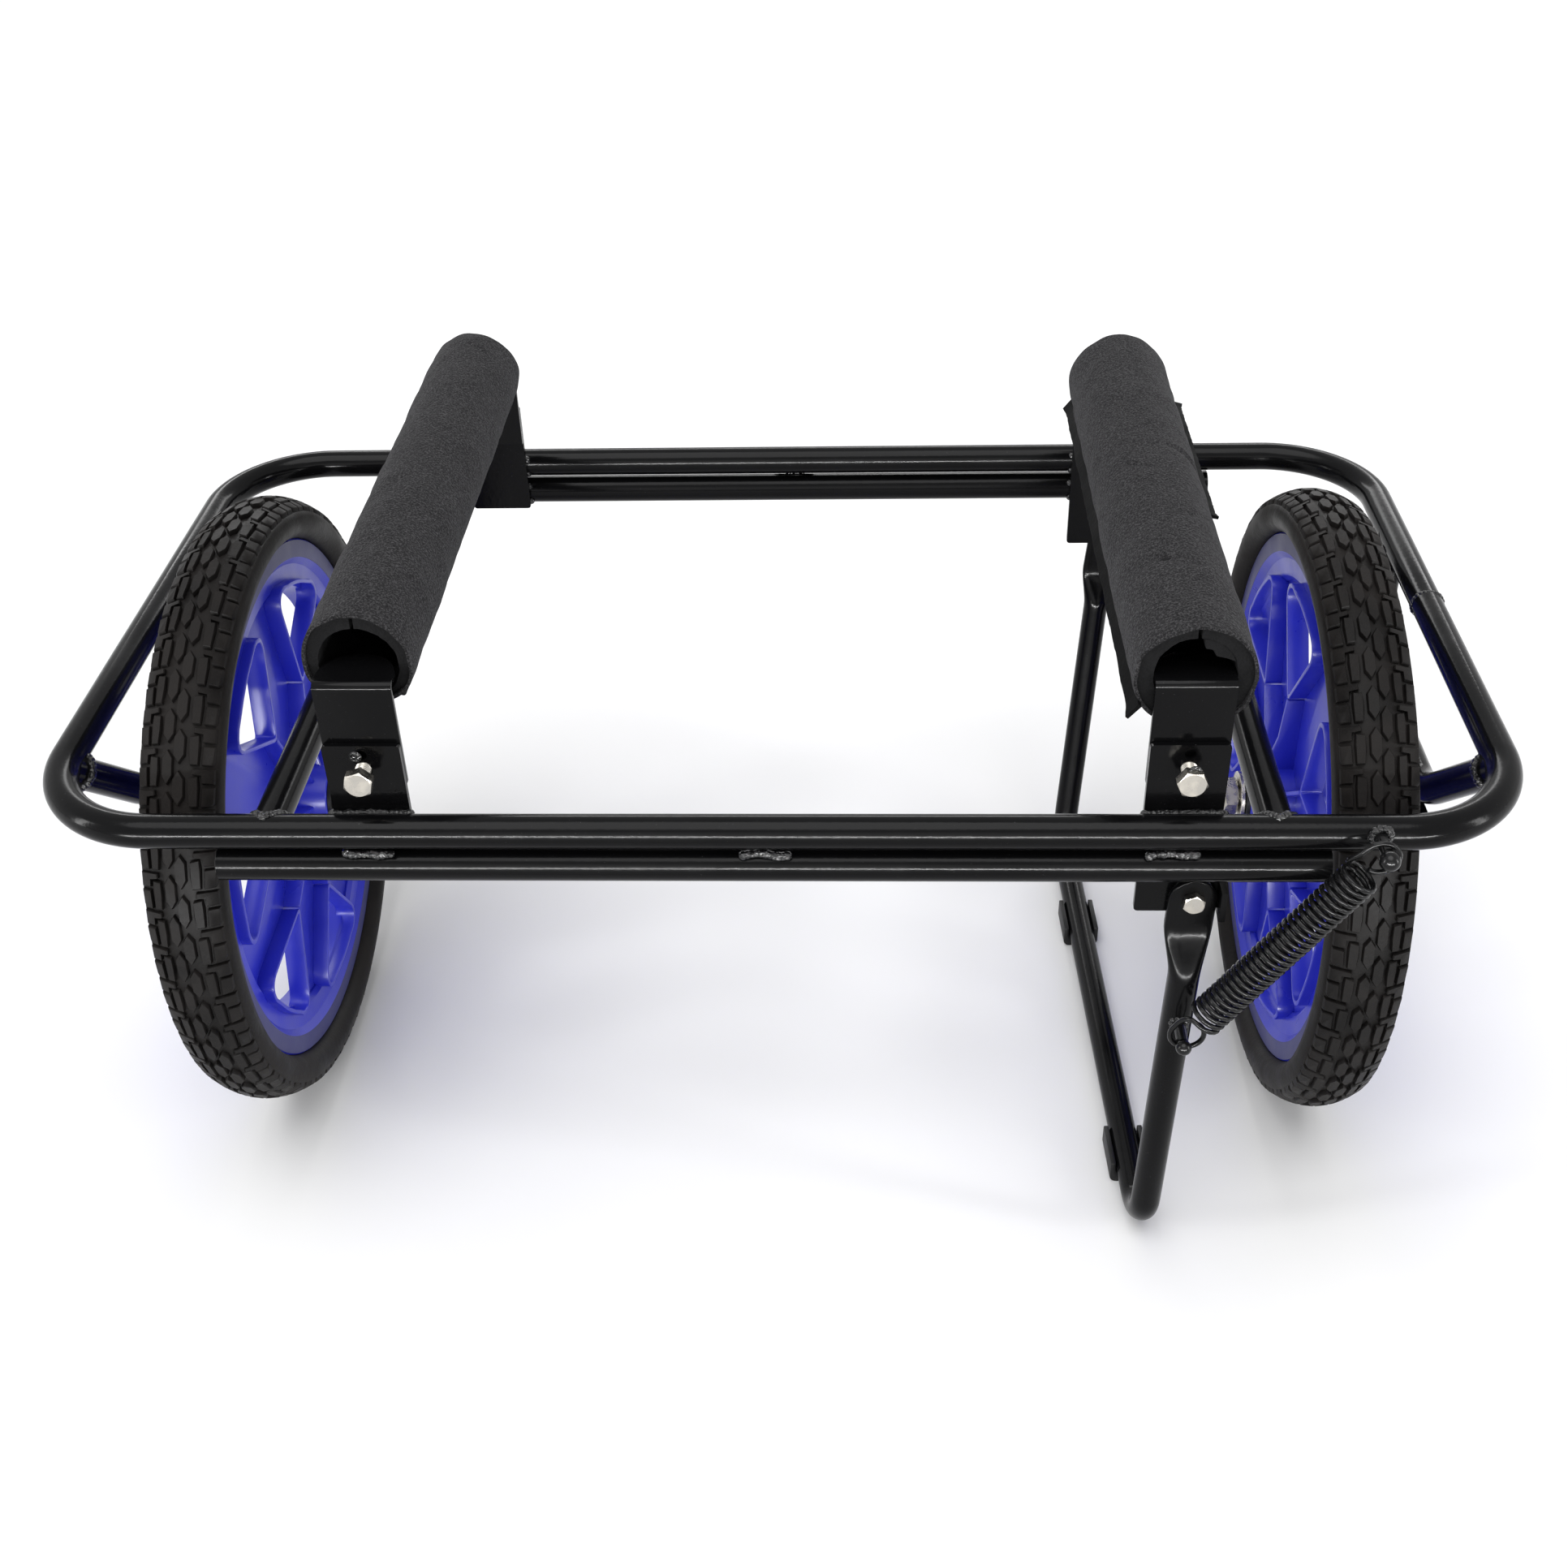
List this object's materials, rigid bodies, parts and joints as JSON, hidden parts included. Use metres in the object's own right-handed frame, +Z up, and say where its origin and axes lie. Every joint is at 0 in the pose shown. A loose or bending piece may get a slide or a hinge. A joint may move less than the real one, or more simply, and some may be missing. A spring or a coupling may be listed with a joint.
{
  "type": "kayak cart",
  "caption": "Cart for a kayak: bent-tube frame on spoked wheels with treaded tyres, padded hull rests and a sprung folding kickstand.",
  "frame": {"origin": "on the ground, under the middle of the cart's outline, with the kickstand down", "axes": "+X to the cart's right, where the kickstand is; +Y to its rear, away from the spring; +Z up"},
  "size_m": [0.7503, 0.4388, 0.395],
  "materials": {
    "black_paint": "gloss",
    "spring_paint": "gloss",
    "zinc_plate": "satin",
    "blue_plastic": "semi-gloss",
    "tyre_rubber": "matt",
    "black_plastic": "satin",
    "pad_fabric": "heathered",
    "pad_foam": "closed-cell foam"
  },
  "bodies": {
    "frame": {"frame_loop": "black_paint", "front_lower_rail": "black_paint", "rear_lower_rail": "black_paint", "left_inner_strut": "black_paint", "left_axle_hanger": "black_paint", "left_axle_plate": "black_paint", "left_axle": "zinc_plate", "left_axle_washer": "zinc_plate", "left_axle_nut": "zinc_plate", "right_inner_strut": "black_paint", "right_axle_hanger": "black_paint", "right_axle_plate": "black_paint", "right_axle": "zinc_plate", "right_axle_washer": "zinc_plate", "right_axle_nut": "zinc_plate", "front_left_bunk_plate": "black_paint", "front_left_bunk_bolt": "zinc_plate", "front_left_bunk_nut": "zinc_plate", "front_right_bunk_plate": "black_paint", "front_right_bunk_bolt": "zinc_plate", "front_right_bunk_nut": "zinc_plate", "rear_left_bunk_plate": "black_paint", "rear_left_bunk_bolt": "zinc_plate", "rear_left_bunk_nut": "zinc_plate", "rear_right_bunk_plate": "black_paint", "rear_right_bunk_bolt": "zinc_plate", "rear_right_bunk_nut": "zinc_plate", "front_pivot_bolt": "zinc_plate", "front_pivot_nut": "zinc_plate", "rear_pivot_bolt": "zinc_plate", "rear_pivot_nut": "zinc_plate", "spring_frame_pin": "black_paint"},
    "left_wheel": {"left_tyre": "tyre_rubber", "left_rim": "blue_plastic", "left_inner_bush": "black_plastic", "left_outer_bush": "black_plastic"},
    "right_wheel": {"right_tyre": "tyre_rubber", "right_rim": "blue_plastic", "right_inner_bush": "black_plastic", "right_outer_bush": "black_plastic"},
    "left_bunk": {"left_bunk_bar": "black_paint", "left_foam_roll": "pad_foam", "left_pad_cover": "pad_fabric"},
    "right_bunk": {"right_bunk_bar": "black_paint", "right_foam_roll": "pad_foam", "right_pad_cover": "pad_fabric"},
    "kickstand": {"kickstand_bail": "black_paint", "front_foot": "black_plastic", "rear_foot": "black_plastic", "spring_leg_pin": "black_paint"},
    "spring_upper": {"kickstand_spring": "spring_paint"},
    "spring_lower": {"spring_lower_hook": "spring_paint"}
  },
  "joints": [
    {"name": "left_wheel_spin", "type": "hinge", "parent": "frame", "child": "left_wheel", "pos_m": [-0.302, -0.01438, 0.179], "axis": [1, 0, 0], "continuous": true},
    {"name": "right_wheel_spin", "type": "hinge", "parent": "frame", "child": "right_wheel", "pos_m": [0.302, -0.01438, 0.179], "axis": [1, 0, 0], "continuous": true},
    {"name": "left_bunk_tilt", "type": "hinge", "parent": "frame", "child": "left_bunk", "pos_m": [-0.194, 0, 0.318], "axis": [0, 1, 0], "range_deg": [-15, 15]},
    {"name": "right_bunk_tilt", "type": "hinge", "parent": "frame", "child": "right_bunk", "pos_m": [0.201, 0, 0.318], "axis": [0, 1, 0], "range_deg": [-15, 15]},
    {"name": "kickstand_fold", "type": "hinge", "parent": "frame", "child": "kickstand", "pos_m": [0.21, 0, 0.241], "axis": [0, 1, 0], "range_deg": [0, 90]},
    {"name": "spring_swing", "type": "hinge", "parent": "frame", "child": "spring_upper", "pos_m": [0.291, -0.20788, 0.291], "axis": [0, 1, 0], "range_deg": [0, 38]},
    {"name": "spring_stretch", "type": "slide", "parent": "spring_upper", "child": "spring_lower", "axis": [-0.5676, 0, -0.8233], "range_m": [0, 0.0126], "deforming": ["kickstand_spring", "spring_lower_hook"]}
  ],
  "couplings": [
    {"joint": "spring_swing", "follows": "kickstand_fold", "ratio": 0.42108},
    {"joint": "spring_stretch", "follows": "kickstand_fold", "m_per_rad": 0.0079489}
  ]
}
